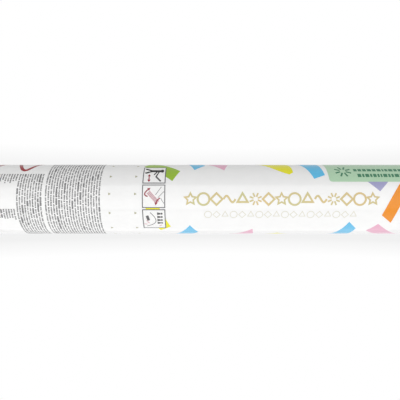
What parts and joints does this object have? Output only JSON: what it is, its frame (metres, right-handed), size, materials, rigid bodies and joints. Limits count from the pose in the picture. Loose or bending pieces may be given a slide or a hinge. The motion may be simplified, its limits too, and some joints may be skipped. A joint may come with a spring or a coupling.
{
  "type": "confetti popper",
  "caption": "Hand-held paper-tube confetti popper: twisting the base opens an air valve that blows confetti slips and the end cap out of the muzzle.",
  "frame": {"origin": "centre of the base's underside, where the popper stands", "axes": "+Z along the tube's axis, from the twist base up to the muzzle; -Y faces the viewer of the printed pictograms"},
  "size_m": [0.05, 0.05, 0.5],
  "materials": {
    "paper_tube": "uncoated kraft board",
    "printed_paper": "gloss-coated white paper, printed",
    "base_card": "white moulded plastic",
    "cap_card": "white pressed card",
    "aluminium": "drawn, bare",
    "moulded_nylon": "natural moulded nylon",
    "cam_plastic": "black moulded plastic",
    "collar_card": "uncoated board",
    "seal_rubber": "black rubber",
    "brass": "turned",
    "steel": "bright zinc",
    "plate_plastic": "natural moulded plastic",
    "wad_card": "grey board",
    "slips_blue": "tissue paper slips",
    "slips_pink": "tissue paper slips",
    "slips_yellow": "tissue paper slips",
    "slips_green": "tissue paper slips"
  },
  "bodies": {
    "barrel": {"barrel_tube": "paper_tube", "barrel_wrap": "printed_paper", "air_cylinder": "aluminium", "tail_plug": "moulded_nylon", "tail_o_ring": "seal_rubber", "gland_nut": "brass", "rod_o_ring": "seal_rubber", "thrust_washer": "steel", "retaining_ring": "steel", "valve_head": "moulded_nylon", "head_o_ring": "seal_rubber", "fill_plug": "seal_rubber", "lower_collar": "collar_card", "upper_collar": "collar_card", "blast_plate": "plate_plastic", "valve_spring": "steel"},
    "twist_base": {"grip_tube": "paper_tube", "grip_wrap": "printed_paper", "base_cap": "base_card", "cam_sleeve": "cam_plastic", "bearing_bush": "cam_plastic"},
    "valve": {"valve_rod": "steel", "cross_pin": "steel", "poppet": "moulded_nylon", "poppet_seal": "seal_rubber", "spring_washer": "steel", "spring_clip": "steel"},
    "load": {"piston_wad": "wad_card", "confetti_stack_01": "slips_blue", "confetti_stack_02": "slips_pink", "confetti_stack_03": "slips_yellow", "confetti_stack_04": "slips_green", "confetti_stack_05": "slips_pink", "confetti_stack_06": "slips_yellow", "confetti_stack_07": "slips_green", "confetti_stack_08": "slips_blue", "confetti_stack_09": "slips_yellow", "confetti_stack_10": "slips_green", "confetti_stack_11": "slips_blue", "confetti_stack_12": "slips_pink", "confetti_stack_13": "slips_green", "confetti_stack_14": "slips_blue", "confetti_stack_15": "slips_pink", "confetti_stack_16": "slips_yellow", "cover_disc": "cap_card"},
    "muzzle_cap": {"muzzle_cap": "cap_card"}
  },
  "joints": [
    {"name": "base_twist", "type": "hinge", "parent": "barrel", "child": "twist_base", "pos_m": [0, 0, 0.055], "axis": [0, 0, 1], "range_deg": [0, 90]},
    {"name": "valve_draw", "type": "slide", "parent": "barrel", "child": "valve", "axis": [0, 0, -1], "range_m": [0, 0.006], "stiffness_N_per_m": 1650, "springref_m": -0.004, "deforming": ["valve_spring"]},
    {"name": "load_shot", "type": "slide", "parent": "barrel", "child": "load", "axis": [0, 0, 1], "range_m": [0, 0.29]},
    {"name": "cap_off", "type": "slide", "parent": "load", "child": "muzzle_cap", "axis": [0, 0, 1], "range_m": [0, 0.04]}
  ],
  "couplings": [
    {"joint": "base_twist", "follows": "valve_draw", "rad_per_m": 261.8}
  ]
}
